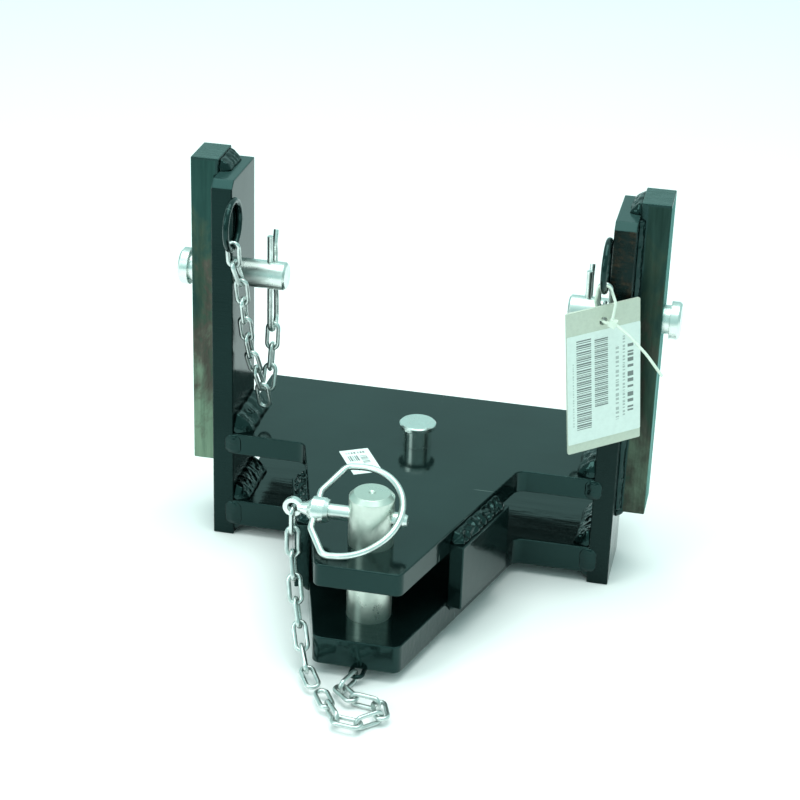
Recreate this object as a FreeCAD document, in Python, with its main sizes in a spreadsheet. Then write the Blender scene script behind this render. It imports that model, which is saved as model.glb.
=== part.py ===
import FreeCAD, Part
import math
import os

import Sketcher

# Height-adjustable drawbar jaw for a tractor hitch ladder.
# Frame: the origin is where the drawbar pin's axis crosses the middle of the jaw.
# +X is the object's right seen from the front, the jaw's tip points to -Y, +Z is up.

DIMENSIONS = {
    # welded carriage
    "inner_width": 260, "cheek_thickness": 15, "cheek_depth": 56, "cheek_height": 272, "cheek_bevel": 5,
    "cheek_setback": 124.5, "rail_width": 20, "rail_depth": 32, "rail_length": 231, "rail_setback": 18.5,
    "rail_bottom": 50, "jaw_gap": 38, "top_plate_thickness": 16, "bottom_plate_thickness": 20,
    "foot_clearance": 8, "plate_rear": 105.5, "tip_reach": 38, "tip_half_width": 28.5,
    "neck_half_width": 77, "neck_radius": 8, "tip_radius": 6, "edge_radius": 0.8,
    "web_thickness": 10, "web_length": 68, "web_front": 27, "web_lap_top": 6, "web_lap_bottom": 3,
    # weld beads
    "plate_bead": 13, "seam_bead_width": 12, "seam_bead_height": 1.6, "rail_bead": 8, "corner_bead": 4,
    "web_bead": 8.5, "web_root_bead": 5, "bead_bulge": 0.62,
    # fits
    "pin_clearance": 0.08, "loose_clearance": 0.3,
    # drawbar pin and linch pin
    "drawbar_diameter": 30, "drawbar_chamfer": 3, "drawbar_top": 36.4, "centre_mark": 5,
    "linch_diameter": 10, "linch_height": 18.5, "linch_tip": 24, "linch_head_start": 28,
    "linch_head_length": 14, "linch_head_diameter": 17, "eye_diameter": 13, "eye_thickness": 4,
    "eye_hole": 7, "eye_overhang": 10.5, "snap_wire": 4.4, "snap_pivot": 9, "snap_radius": 36,
    "snap_reach": 21, "snap_tilt": 26, "snap_grip": 6,
    # rear headed pin
    "rear_diameter": 20, "rear_head_diameter": 26, "rear_head_thickness": 3.5, "rear_axis": 21.5,
    "rear_raise": 13.8, "rear_cotter_hole": 5, "rear_cotter_height": 10,
    # locking pins and R-clips
    "lock_diameter": 20, "lock_head_diameter": 26, "lock_head_thickness": 7, "lock_head_gap": 5,
    "lock_inside": 30, "lock_rise": 111.5, "clip_wire": 4, "clip_inset": 12.5, "clip_above": 29,
    "clip_below": 36, "clip_loop_radius": 9, "end_chamfer": 1.5,
    # chains and chain rings
    "ring_radius": 16.8, "ring_wire": 4.4, "ring_rise": 162, "ring_forward": 6, "ring_bead": 3.5,
    "link_wire": 3, "link_length": 22, "link_width": 11, "link_play": 0.2, "eye_play": 1.2, "flat_play": 0.7,
    # tag and sticker
    "tag_width": 55, "tag_height": 105, "tag_thickness": 1.6, "tag_corner": 2, "tag_hole": 6,
    "tag_hole_inset": 11, "label_thickness": 0.3, "tag_turn": 35.6, "tag_lean": 5, "tie_thickness": 2,
    "tie_head": 5, "sticker_width": 21, "sticker_length": 36, "sticker_thickness": 0.3,
    "sticker_turn": 30,
}

doc = FreeCAD.newDocument("drawbar_jaw")
sheet = doc.addObject("Spreadsheet::Sheet", "Dims")
for row, (alias, number) in enumerate(DIMENSIONS.items(), start=1):
    sheet.set(f"A{row}", alias)
    sheet.set(f"B{row}", str(number))
    sheet.setAlias(f"B{row}", alias)
doc.recompute()

SUB_PARTS = []
X_AXIS = FreeCAD.Vector(1, 0, 0)
Y_AXIS = FreeCAD.Vector(0, 1, 0)
Z_AXIS = FreeCAD.Vector(0, 0, 1)
SIDES = (("left", -1), ("right", 1))


def size(alias):
    """Value of one driving dimension."""
    return float(sheet.get(alias))


# Shared levels and planes, as expressions for the sheet and as numbers for computed shapes.
FLOOR = "-(Dims.jaw_gap / 2 + Dims.bottom_plate_thickness + Dims.foot_clearance)"
TOP_FACE = "(Dims.jaw_gap / 2 + Dims.top_plate_thickness)"
LOCK_AXIS = "(Dims.cheek_setback + Dims.rail_setback + Dims.rail_depth / 2)"
floor_z = -(size("jaw_gap") / 2 + size("bottom_plate_thickness") + size("foot_clearance"))
top_face_z = size("jaw_gap") / 2 + size("top_plate_thickness")
inner_x = size("inner_width") / 2
outer_x = inner_x + size("cheek_thickness")
front_y = size("cheek_setback")
lock_y = front_y + size("rail_setback") + size("rail_depth") / 2
lock_z = top_face_z + size("lock_rise")
linch_z = top_face_z + size("linch_height")
diagonal_run = front_y + size("tip_reach")
diagonal_out = size("neck_half_width") - size("tip_half_width")
diagonal_angle = math.degrees(math.atan2(diagonal_run, diagonal_out))


def keep(obj, name):
    """Register an object as a sub-part under the name of its node."""
    obj.Label = name
    SUB_PARTS.append(obj)
    return obj


def new_body(name):
    return doc.addObject("PartDesign::Body", name)


def new_sketch(body, role, name):
    """Empty sketch on one of the body's own origin planes."""
    sketch = body.newObject("Sketcher::SketchObject", name)
    plane = [item for item in body.Origin.OriginFeatures if item.Role == role][0]
    sketch.AttachmentSupport = [(plane, "")]
    sketch.MapMode = "FlatFace"
    return sketch


def bind(sketch, constraint, expression):
    index = sketch.addConstraint(constraint)
    sketch.setExpression(f"Constraints[{index}]", expression)


def add_polygon(sketch, corners):
    """Closed polygon whose corners are pairs of sheet expressions."""
    count = len(corners)
    turns = [2 * math.pi * index / count for index in range(count)]
    seeds = [FreeCAD.Vector(math.cos(turn), math.sin(turn), 0) for turn in turns]
    for index in range(count):
        sketch.addGeometry(Part.LineSegment(seeds[index], seeds[(index + 1) % count]), False)
    for index in range(count):
        sketch.addConstraint(Sketcher.Constraint("Coincident", index, 2, (index + 1) % count, 1))
    for index, (across, up) in enumerate(corners):
        bind(sketch, Sketcher.Constraint("DistanceX", -1, 1, index, 1, 1.0), across)
        bind(sketch, Sketcher.Constraint("DistanceY", -1, 1, index, 1, 1.0), up)


def add_circle(sketch, across, up, diameter):
    circle = Part.Circle(FreeCAD.Vector(0, 0, 0), Z_AXIS, 1)
    index = sketch.addGeometry(circle, False)
    bind(sketch, Sketcher.Constraint("Diameter", index, 1.0), diameter)
    bind(sketch, Sketcher.Constraint("DistanceX", -1, 1, index, 3, 1.0), across)
    bind(sketch, Sketcher.Constraint("DistanceY", -1, 1, index, 3, 1.0), up)


def add_pad(body, sketch, length):
    pad = body.newObject("PartDesign::Pad", body.Name + "_pad")
    pad.Profile = sketch
    pad.setExpression("Length", length)
    doc.recompute()
    return pad


def add_fillet(body, base, edge_names, radius):
    fillet = body.newObject("PartDesign::Fillet", body.Name + "_fillet")
    fillet.Base = (base, edge_names)
    fillet.setExpression("Radius", radius)
    doc.recompute()
    return fillet


def edges_where(shape, test):
    """Names of the edges that pass a test."""
    return [f"Edge{index}" for index, edge in enumerate(shape.Edges, start=1) if test(edge)]


def is_straight(edge):
    return isinstance(edge.Curve, Part.Line)


def place(obj, across="0", back="0", up="0"):
    obj.setExpression("Placement.Base.x", across)
    obj.setExpression("Placement.Base.y", back)
    obj.setExpression("Placement.Base.z", up)


def add_turned(name, profile, axis_role="V_Axis"):
    """Solid of revolution about the body's Z axis from (radius, height) expressions."""
    body = new_body(name)
    sketch = new_sketch(body, "XZ_Plane", name + "_profile")
    add_polygon(sketch, profile)
    turned = body.newObject("PartDesign::Revolution", name + "_turned")
    turned.Profile = sketch
    turned.ReferenceAxis = (sketch, [axis_role])
    turned.Angle = 360
    doc.recompute()
    return body


def add_cross_hole(body, role, across, up, diameter):
    """Hole right through, drilled square to one of the origin planes."""
    sketch = new_sketch(body, role, body.Name + "_hole_outline")
    add_circle(sketch, across, up, diameter)
    before = body.Shape.Volume
    hole = body.newObject("PartDesign::Pocket", body.Name + "_hole")
    hole.Profile = sketch
    hole.Type = "ThroughAll"
    hole.Midplane = True
    doc.recompute()
    if body.Shape.Volume >= before:
        raise RuntimeError(f"{body.Name}: the cross hole removed nothing")
    return hole


# ---------------------------------------------------------------- plates, cheeks, rails, webs

def make_plate(name, thickness, level):
    """Hitch plate: full width behind, narrowing along two diagonals to a blunt tip."""
    neck = ("Dims.neck_half_width", "Dims.cheek_setback")
    arm = ("Dims.inner_width / 2", "Dims.cheek_setback")
    rear = ("Dims.inner_width / 2", "Dims.cheek_setback + Dims.plate_rear")
    tip = ("Dims.tip_half_width", "-Dims.tip_reach")
    right = [tip, neck, arm, rear]
    left = [(f"-({across})", back) for across, back in reversed(right)]
    body = new_body(name)
    sketch = new_sketch(body, "XY_Plane", name + "_outline")
    add_polygon(sketch, right + left)
    add_circle(sketch, "0", "0", "Dims.drawbar_diameter + 2 * Dims.pin_clearance")
    add_circle(sketch, "0", "Dims.cheek_setback + Dims.rear_axis",
               "Dims.rear_diameter + 2 * Dims.pin_clearance")
    pad = add_pad(body, sketch, thickness)

    def upright_near(corner_x, corner_y):
        def test(edge):
            middle = edge.CenterOfMass
            upright = is_straight(edge) and abs(edge.tangentAt(edge.FirstParameter).z) > 0.99
            return upright and abs(abs(middle.x) - corner_x) < 0.01 and abs(middle.y - corner_y) < 0.01
        return edges_where(pad.Shape, test)

    necks = add_fillet(body, pad, upright_near(size("neck_half_width"), front_y), "Dims.neck_radius")

    def at_tip(edge):
        middle = edge.CenterOfMass
        upright = is_straight(edge) and abs(edge.tangentAt(edge.FirstParameter).z) > 0.99
        return upright and abs(middle.y + size("tip_reach")) < 0.01

    tips = add_fillet(body, necks, edges_where(necks.Shape, at_tip), "Dims.tip_radius")

    def on_rim(edge):
        middle = edge.CenterOfMass
        level_edge = abs(edge.tangentAt(edge.FirstParameter).z) < 0.01
        round_hole = isinstance(edge.Curve, Part.Circle) and edge.isClosed()
        beside_cheek = abs(middle.x) > inner_x - 0.01
        return level_edge and not round_hole and not beside_cheek

    add_fillet(body, tips, edges_where(tips.Shape, on_rim), "Dims.edge_radius")
    place(body, up=level)
    return keep(body, name)


make_plate("top_plate", "Dims.top_plate_thickness", "Dims.jaw_gap / 2")
make_plate("bottom_plate", "Dims.bottom_plate_thickness", "-Dims.jaw_gap / 2 - Dims.bottom_plate_thickness")


def make_upright(name, corners, thickness, across):
    """Flat bar standing on edge: side profile with the locking pin's bore, padded along X."""
    body = new_body(name)
    sketch = new_sketch(body, "YZ_Plane", name + "_profile")
    add_polygon(sketch, corners)
    add_circle(sketch, LOCK_AXIS, f"{TOP_FACE} + Dims.lock_rise",
               "Dims.lock_diameter + 2 * Dims.pin_clearance")
    pad = add_pad(body, sketch, thickness)

    def on_outline(edge):
        return is_straight(edge)

    add_fillet(body, pad, edges_where(pad.Shape, on_outline), "Dims.edge_radius")
    place(body, across=across)
    return keep(body, name)


CHEEK_TOP = f"{FLOOR} + Dims.cheek_height"
CHEEK_CORNERS = [
    ("Dims.cheek_setback", FLOOR),
    ("Dims.cheek_setback + Dims.cheek_depth", FLOOR),
    ("Dims.cheek_setback + Dims.cheek_depth", CHEEK_TOP),
    ("Dims.cheek_setback + Dims.cheek_bevel", CHEEK_TOP),
    ("Dims.cheek_setback", f"{CHEEK_TOP} - Dims.cheek_bevel"),
]
RAIL_FRONT = "Dims.cheek_setback + Dims.rail_setback"
RAIL_FOOT = f"{FLOOR} + Dims.rail_bottom"
RAIL_CORNERS = [
    (RAIL_FRONT, RAIL_FOOT),
    (f"{RAIL_FRONT} + Dims.rail_depth", RAIL_FOOT),
    (f"{RAIL_FRONT} + Dims.rail_depth", f"{RAIL_FOOT} + Dims.rail_length"),
    (RAIL_FRONT, f"{RAIL_FOOT} + Dims.rail_length"),
]
OUTER = "(Dims.inner_width / 2 + Dims.cheek_thickness)"

make_upright("left_cheek", CHEEK_CORNERS, "Dims.cheek_thickness", f"-{OUTER}")
make_upright("right_cheek", CHEEK_CORNERS, "Dims.cheek_thickness", "Dims.inner_width / 2")
make_upright("left_rail", RAIL_CORNERS, "Dims.rail_width", f"-({OUTER} + Dims.rail_width)")
make_upright("right_rail", RAIL_CORNERS, "Dims.rail_width", OUTER)


def diagonal_point(side, along_y, outward):
    """Point on a diagonal edge of the plates, moved outward square to that edge."""
    share = (along_y + size("tip_reach")) / diagonal_run
    across = size("tip_half_width") + share * diagonal_out
    normal_angle = math.radians(diagonal_angle - 90)
    x = across + outward * math.cos(normal_angle)
    y = along_y + outward * math.sin(normal_angle)
    return FreeCAD.Vector(side * x, y, 0)


def place_on_diagonal(obj, side, along_y, level):
    """Stand an object's local X axis along the diagonal, its local Y axis pointing outward."""
    start = diagonal_point(side, along_y, 0)
    start.z = level
    turn = diagonal_angle if side > 0 else 180 - diagonal_angle
    obj.Placement = FreeCAD.Placement(start, FreeCAD.Rotation(Z_AXIS, turn))


def make_web(name, side):
    """Web plate standing outside the diagonal, lapping the edges of both plates."""
    box = doc.addObject("Part::Box", name + "_blank")
    box.setExpression("Length", "Dims.web_length")
    box.setExpression("Width", "Dims.web_thickness")
    box.setExpression("Height", "Dims.jaw_gap + Dims.web_lap_top + Dims.web_lap_bottom")
    doc.recompute()
    outer_face = size("web_thickness") if side < 0 else 0
    rounded = []
    for index, edge in enumerate(box.Shape.Edges, start=1):
        if abs(edge.CenterOfMass.y - outer_face) < 0.01:
            rounded.append((index, size("edge_radius"), size("edge_radius")))
    web = doc.addObject("Part::Fillet", name)
    web.Base = box
    web.Edges = rounded
    doc.recompute()
    place_on_diagonal(web, side, size("web_front"), -size("jaw_gap") / 2 - size("web_lap_bottom"))
    if side > 0:
        inward = web.Placement.Rotation.multVec(FreeCAD.Vector(0, size("web_thickness"), 0))
        web.Placement.Base = web.Placement.Base - inward
    return keep(web, name)


make_web("left_web", -1)
make_web("right_web", 1)

# ---------------------------------------------------------------- weld beads

def bead_corners(leg, across_sign, up_sign):
    """Cross-section of a convex fillet weld in the corner between two faces."""
    across = "" if across_sign > 0 else "-"
    up = "" if up_sign > 0 else "-"
    return [
        ("0", "0"),
        (f"{across}{leg}", "0"),
        (f"{across}{leg} * Dims.bead_bulge", f"{up}{leg} * Dims.bead_bulge"),
        ("0", f"{up}{leg}"),
    ]


def make_bead(name, role, corners, length, reverse=False):
    """One straight weld bead, padded square to the plane of its cross-section."""
    body = new_body(name)
    sketch = new_sketch(body, role, name + "_section")
    add_polygon(sketch, corners)
    pad = add_pad(body, sketch, length)
    pad.Reversed = reverse
    doc.recompute()
    return body


def group(name, members):
    compound = doc.addObject("Part::Compound", name)
    compound.Links = members
    doc.recompute()
    return keep(compound, name)


def make_plate_welds(side_name, side):
    """Beads between a cheek and the two plates."""
    sign = "-" if side < 0 else ""
    inner = f"{sign}Dims.inner_width / 2"
    along = "Dims.cheek_depth - 4"
    beads = []
    rows = (
        ("top", TOP_FACE, "Dims.plate_bead", 1),
        ("window", "-Dims.jaw_gap / 2", "(Dims.plate_bead * 0.85)", 1),
        ("under", "-Dims.jaw_gap / 2 - Dims.bottom_plate_thickness", "(Dims.foot_clearance * 0.7)", -1),
    )
    for label, level, leg, up_sign in rows:
        bead = make_bead(f"{side_name}_{label}_bead", "XZ_Plane", bead_corners(leg, -side, up_sign),
                         along, True)
        place(bead, inner, "Dims.cheek_setback + 2", level)
        beads.append(bead)
    half = "Dims.seam_bead_width / 2"
    crown = "-Dims.seam_bead_height"
    seam = [(f"-{half}", "0"), (f"-{half} / 2", crown), (f"{half} / 2", crown), (half, "0")]
    seams = (
        ("upper", "Dims.jaw_gap / 2 + 1", "Dims.top_plate_thickness - 2"),
        ("lower", "-Dims.jaw_gap / 2 - Dims.bottom_plate_thickness + 1", "Dims.bottom_plate_thickness - 2"),
    )
    for label, level, length in seams:
        bead = make_bead(f"{side_name}_{label}_seam", "XY_Plane", seam, length)
        place(bead, inner, "Dims.cheek_setback", level)
        beads.append(bead)
    return group(f"{side_name}_plate_welds", beads)


def make_rail_welds(side_name, side):
    """Beads between a cheek and its slide rail: on top, down the front corner and under the foot."""
    sign = "-" if side < 0 else ""
    outer = f"{sign}{OUTER}"
    top = make_bead(f"{side_name}_rail_top_bead", "XZ_Plane", bead_corners("Dims.rail_bead", -side, 1),
                    "Dims.rail_depth - 3", True)
    place(top, outer, f"{RAIL_FRONT} + 1.5", CHEEK_TOP)
    foot = make_bead(f"{side_name}_rail_foot_bead", "XZ_Plane",
                     bead_corners("Dims.rail_bead * 0.8", side, -1), "Dims.rail_depth - 3", True)
    place(foot, outer, f"{RAIL_FRONT} + 1.5", RAIL_FOOT)
    corner = make_bead(f"{side_name}_rail_corner_bead", "XY_Plane",
                       bead_corners("Dims.corner_bead", side, -1),
                       "Dims.cheek_height - Dims.rail_bottom - 4")
    place(corner, outer, RAIL_FRONT, f"{RAIL_FOOT} + 2")
    return group(f"{side_name}_rail_welds", [top, foot, corner])


def make_web_welds(side_name, side):
    """Beads along the web's top and bottom edges, against the edges of the plates."""
    beads = []
    rows = (
        ("crest", "Dims.web_bead", 1, size("jaw_gap") / 2 + size("web_lap_top")),
        ("root", "Dims.web_root_bead", -1, -size("jaw_gap") / 2 - size("web_lap_bottom")),
    )
    for label, leg, up_sign, level in rows:
        bead = make_bead(f"{side_name}_web_{label}_bead", "YZ_Plane", bead_corners(leg, -side, up_sign),
                         "Dims.web_length - 4")
        place_on_diagonal(bead, side, size("web_front") + 2, level)
        beads.append(bead)
    return group(f"{side_name}_web_welds", beads)


for side_name, side in SIDES:
    make_plate_welds(side_name, side)
    make_rail_welds(side_name, side)
    make_web_welds(side_name, side)


# ---------------------------------------------------------------- pins

def make_drawbar_pin():
    radius = "Dims.drawbar_diameter / 2"
    chamfer = "Dims.drawbar_chamfer"
    top = f"({TOP_FACE} + Dims.drawbar_top)"
    pin = add_turned("drawbar_pin", [
        ("0", FLOOR),
        (f"{radius} - Dims.end_chamfer", FLOOR),
        (radius, f"{FLOOR} + Dims.end_chamfer"),
        (radius, f"{top} - {chamfer}"),
        (f"{radius} - {chamfer}", top),
        ("Dims.centre_mark / 2", top),
        ("0", f"{top} - Dims.centre_mark / 2"),
    ])
    add_cross_hole(pin, "YZ_Plane", "0", f"{TOP_FACE} + Dims.linch_height",
                   "Dims.linch_diameter + 2 * Dims.pin_clearance")
    return keep(pin, "drawbar_pin")


def make_rear_pin():
    radius = "Dims.rear_diameter / 2"
    head = "Dims.rear_head_diameter / 2"
    seat = f"({TOP_FACE} + Dims.rear_raise)"
    crown = f"({seat} + Dims.rear_head_thickness)"
    pin = add_turned("rear_pin", [
        ("0", FLOOR),
        (f"{radius} - Dims.end_chamfer", FLOOR),
        (radius, f"{FLOOR} + Dims.end_chamfer"),
        (radius, seat),
        (head, seat),
        (head, f"{crown} - Dims.edge_radius"),
        (f"{head} - Dims.edge_radius", crown),
        ("0", crown),
    ])
    add_cross_hole(pin, "YZ_Plane", "0", f"{FLOOR} + Dims.rear_cotter_height", "Dims.rear_cotter_hole")
    place(pin, back="Dims.cheek_setback + Dims.rear_axis")
    return keep(pin, "rear_pin")


def make_lock_pin(side_name, side):
    """Headed pin through cheek and rail; its axis is turned from Z to point outward."""
    radius = "Dims.lock_diameter / 2"
    head = "Dims.lock_head_diameter / 2"
    shank = "(Dims.lock_inside + Dims.cheek_thickness + Dims.rail_width + Dims.lock_head_gap)"
    total = f"({shank} + Dims.lock_head_thickness)"
    name = f"{side_name}_lock_pin"
    pin = add_turned(name, [
        ("0", "0"),
        (f"{radius} - Dims.end_chamfer", "0"),
        (radius, "Dims.end_chamfer"),
        (radius, shank),
        (head, shank),
        (head, f"{total} - Dims.end_chamfer"),
        (f"{head} - Dims.end_chamfer", total),
        ("0", total),
    ])
    add_cross_hole(pin, "YZ_Plane", "0", "Dims.clip_inset", "Dims.clip_wire + 2 * Dims.pin_clearance")
    pin.Placement = FreeCAD.Placement(FreeCAD.Vector(0, 0, 0), FreeCAD.Rotation(Y_AXIS, 90 * side))
    sign = "-" if side < 0 else ""
    place(pin, f"{sign}(Dims.inner_width / 2 - Dims.lock_inside)", LOCK_AXIS, f"{TOP_FACE} + Dims.lock_rise")
    return keep(pin, name)


make_drawbar_pin()
make_rear_pin()
for side_name, side in SIDES:
    make_lock_pin(side_name, side)


def drill(base, name, diameter, depth, start, direction):
    """Cut a round hole of a given depth from a finished solid."""
    bit = doc.addObject("Part::Cylinder", name + "_bit")
    bit.setExpression("Radius", f"({diameter}) / 2")
    bit.setExpression("Height", depth)
    bit.Placement = FreeCAD.Placement(start, FreeCAD.Rotation(Z_AXIS, direction))
    cut = doc.addObject("Part::Cut", name)
    cut.Base = base
    cut.Tool = bit
    doc.recompute()
    return cut


def make_linch_pin():
    """Linch pin lying along X: shank, barrel head with the ring's cross hole, and a flat eye."""
    shank = "Dims.linch_diameter / 2"
    barrel = "Dims.linch_head_diameter / 2"
    start = "(Dims.linch_tip + Dims.linch_head_start)"
    end = f"({start} + Dims.linch_head_length)"
    turned = add_turned("linch_blank", [
        ("0", "0"),
        (f"{shank} - Dims.end_chamfer", "0"),
        (shank, "Dims.end_chamfer * 2"),
        (shank, start),
        (f"{barrel} - 1.5", start),
        (barrel, f"{start} + 3"),
        (barrel, f"{end} - 3"),
        (f"{barrel} - 3", end),
        (shank, end),
        ("Dims.eye_thickness / 2", f"{end} + Dims.eye_overhang"),
        ("0", f"{end} + Dims.eye_overhang"),
    ])
    turned.Placement = FreeCAD.Placement(FreeCAD.Vector(size("linch_tip"), 0, linch_z),
                                         FreeCAD.Rotation(Y_AXIS, -90))
    eye_x = -(size("linch_head_start") + size("linch_head_length") + size("eye_overhang"))
    eye = doc.addObject("Part::Cylinder", "linch_eye")
    eye.setExpression("Radius", "Dims.eye_diameter / 2")
    eye.setExpression("Height", "Dims.eye_thickness")
    eye.Placement = FreeCAD.Placement(FreeCAD.Vector(eye_x, size("eye_thickness") / 2, linch_z),
                                      FreeCAD.Rotation(Z_AXIS, FreeCAD.Vector(0, -1, 0)))
    joined = doc.addObject("Part::Fuse", "linch_joined")
    joined.Base = turned
    joined.Tool = eye
    doc.recompute()
    hole_start = FreeCAD.Vector(eye_x, 2 * size("eye_thickness"), linch_z)
    holed = drill(joined, "linch_holed", "Dims.eye_hole", "4 * Dims.eye_thickness", hole_start,
                  FreeCAD.Vector(0, -1, 0))
    across = snap_direction()
    pivot_x = -(size("linch_head_start") + size("snap_pivot"))
    reach = size("linch_head_diameter")
    start_point = FreeCAD.Vector(pivot_x, 0, linch_z) - across * reach
    pin = drill(holed, "linch_pin", "Dims.snap_wire + 2 * Dims.pin_clearance",
                "2 * Dims.linch_head_diameter", start_point, across)
    return keep(pin, "linch_pin")


def snap_direction():
    """Direction across the snap ring: its plane contains the linch pin's axis and leans back."""
    tilt = math.radians(size("snap_tilt"))
    return FreeCAD.Vector(0, math.cos(tilt), math.sin(tilt))


# ---------------------------------------------------------------- bent wire

def rounded_path(points, radii):
    """Straight runs joined by tangent arcs; one radius for each inner point."""
    edges = []
    last = points[0]
    for index, radius in enumerate(radii, start=1):
        corner = points[index]
        back = (points[index - 1] - corner).normalize()
        ahead = (points[index + 1] - corner).normalize()
        half_angle = back.getAngle(ahead) / 2
        trim = radius / math.tan(half_angle)
        bisector = (back + ahead).normalize()
        centre = corner + bisector * (radius / math.sin(half_angle))
        begin = corner + back * trim
        finish = corner + ahead * trim
        middle = centre - bisector * radius
        if (begin - last).Length > 0.001:
            edges.append(Part.LineSegment(last, begin).toShape())
        edges.append(Part.Arc(begin, middle, finish).toShape())
        last = finish
    if (points[-1] - last).Length > 0.001:
        edges.append(Part.LineSegment(last, points[-1]).toShape())
    return Part.Wire(edges)


def bent_wire(points, radii, diameter):
    """Round wire swept along a rounded path."""
    path = rounded_path(points, radii)
    first = path.Edges[0]
    start = first.valueAt(first.FirstParameter)
    heading = first.tangentAt(first.FirstParameter)
    section = Part.Wire(Part.Circle(start, heading, diameter / 2).toShape())
    return path.makePipeShell([section], True, False)


def computed(name, shape):
    feature = doc.addObject("Part::Feature", name)
    feature.Shape = shape
    return keep(feature, name)


def make_snap_ring():
    """Snap ring: two ends in the barrel, two legs and an arc round the drawbar pin."""
    radius = size("snap_radius")
    pivot = -(size("linch_head_start") + size("snap_pivot"))
    reach = size("snap_reach")
    grip = size("snap_grip")
    outline = [
        (pivot, -grip), (pivot, -15), (-24, -radius), (reach, -radius),
        (reach, radius), (-24, radius), (pivot, 15), (pivot, grip),
    ]
    points = [FreeCAD.Vector(x, y, 0) for x, y in outline]
    nearly = radius - 0.01
    ring = bent_wire(points, [4, 8, nearly, nearly, 8, 4], size("snap_wire"))
    # The far side lies on the shank's tip, so the ring is turned up about its two ends.
    rise = (size("linch_diameter") + size("snap_wire")) / 2 + size("loose_clearance")
    lift = math.degrees(math.asin(rise / (reach - pivot)))
    hinge = FreeCAD.Vector(pivot, 0, 0)
    up_on_tip = FreeCAD.Placement(FreeCAD.Vector(0, 0, 0), FreeCAD.Rotation(Y_AXIS, -lift), hinge)
    leaning = FreeCAD.Placement(FreeCAD.Vector(0, 0, linch_z), FreeCAD.Rotation(X_AXIS, size("snap_tilt")))
    feature = computed("linch_ring", ring)
    feature.Placement = leaning.multiply(up_on_tip)
    return feature


def make_clip(side_name, side):
    """R-clip in a plane square to the locking pin: straight leg, loop below, waved leg behind."""
    below = size("clip_below")
    loop = size("clip_loop_radius")
    beside = size("lock_diameter") / 2 + size("clip_wire") / 2 + size("loose_clearance")
    outline = [
        (0, size("clip_above")), (0, -below - loop), (2 * loop, -below - loop),
        (2 * loop - 1, -below + 14), (beside + 0.2, -below + 32), (beside + 2.2, -below + 46),
        (beside + 0.4, -below + 55), (beside + 4, -below + 64),
    ]
    points = [FreeCAD.Vector(0, y, z) for y, z in outline]
    wire = bent_wire(points, [loop - 0.01, loop - 0.5, 14, 14, 10, 6], size("clip_wire"))
    feature = computed(f"{side_name}_r_clip", wire)
    across = side * (inner_x - size("lock_inside") + size("clip_inset"))
    feature.Placement = FreeCAD.Placement(FreeCAD.Vector(across, lock_y, lock_z), FreeCAD.Rotation())
    return feature


make_linch_pin()
make_snap_ring()
for side_name, side in SIDES:
    make_clip(side_name, side)


# ---------------------------------------------------------------- chain rings and chains

def make_chain_ring(side_name, side):
    """Welded ring lying against the cheek's inner face and standing proud of its front edge."""
    ring = doc.addObject("Part::Torus", f"{side_name}_chain_ring")
    ring.setExpression("Radius1", "Dims.ring_radius")
    ring.setExpression("Radius2", "Dims.ring_wire / 2")
    across = side * (inner_x - size("ring_wire") / 2)
    centre = FreeCAD.Vector(across, front_y - size("ring_forward"), top_face_z + size("ring_rise"))
    ring.Placement = FreeCAD.Placement(centre, FreeCAD.Rotation(Z_AXIS, X_AXIS))
    doc.recompute()
    keep(ring, f"{side_name}_chain_ring")
    behind = size("ring_radius") + size("ring_wire") / 2 - size("ring_forward")
    wire = size("ring_wire") / 2
    section = [("0", "0"), ("0", "Dims.ring_bead"), (f"{-side * wire} * 0.6", "Dims.ring_bead * 0.55"),
               (f"{-side * wire}", "0")]
    bead = make_bead(f"{side_name}_ring_weld", "XY_Plane", section, "2 * Dims.ring_bead")
    sign = "-" if side < 0 else ""
    place(bead, f"{sign}Dims.inner_width / 2", f"Dims.cheek_setback + {behind}",
          f"{TOP_FACE} + Dims.ring_rise - Dims.ring_bead")
    return keep(bead, f"{side_name}_ring_weld")


def link_shape():
    """One welded chain link, long axis along X, lying in the XY plane."""
    wire = size("link_wire")
    bend = (size("link_width") - wire) / 2
    half = size("link_length") / 2 - wire / 2 - bend
    corners = [(-half, -bend), (half, -bend), (half, bend), (-half, bend)]
    points = [FreeCAD.Vector(x, y, 0) for x, y in corners]
    front_arc = Part.Arc(points[1], FreeCAD.Vector(half + bend, 0, 0), points[2]).toShape()
    back_arc = Part.Arc(points[3], FreeCAD.Vector(-half - bend, 0, 0), points[0]).toShape()
    lower = Part.LineSegment(points[0], points[1]).toShape()
    upper = Part.LineSegment(points[2], points[3]).toShape()
    path = Part.Wire([lower, front_arc, upper, back_arc])
    section = Part.Wire(Part.Circle(points[0], X_AXIS, wire / 2).toShape())
    return path.makePipeShell([section], True, False)


LINK = link_shape()
LINK_PITCH = size("link_length") - 2 * size("link_wire") - 2 * size("link_play")
UPRIGHT_PITCH = size("link_length") - size("link_wire")
FLAT_PITCH = size("link_length") - size("link_width") + 2 * size("flat_play")


def link_along(start, finish, side):
    """Copy of the link centred between two points, its width turned towards a side direction."""
    along = (finish - start).normalize()
    width = (side - along * side.dot(along)).normalize()
    normal = along.cross(width)
    matrix = FreeCAD.Matrix(
        along.x, width.x, normal.x, 0,
        along.y, width.y, normal.y, 0,
        along.z, width.z, normal.z, 0,
        0, 0, 0, 1,
    )
    link = LINK.copy()
    link.Placement = FreeCAD.Placement((start + finish) / 2, FreeCAD.Placement(matrix).Rotation)
    return link


def link_between(start, finish, roll):
    """Link whose width is turned by roll from the X axis."""
    along = (finish - start).normalize()
    width = (X_AXIS - along * X_AXIS.dot(along)).normalize()
    return link_along(start, finish, FreeCAD.Rotation(along, roll).multVec(width))


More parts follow.
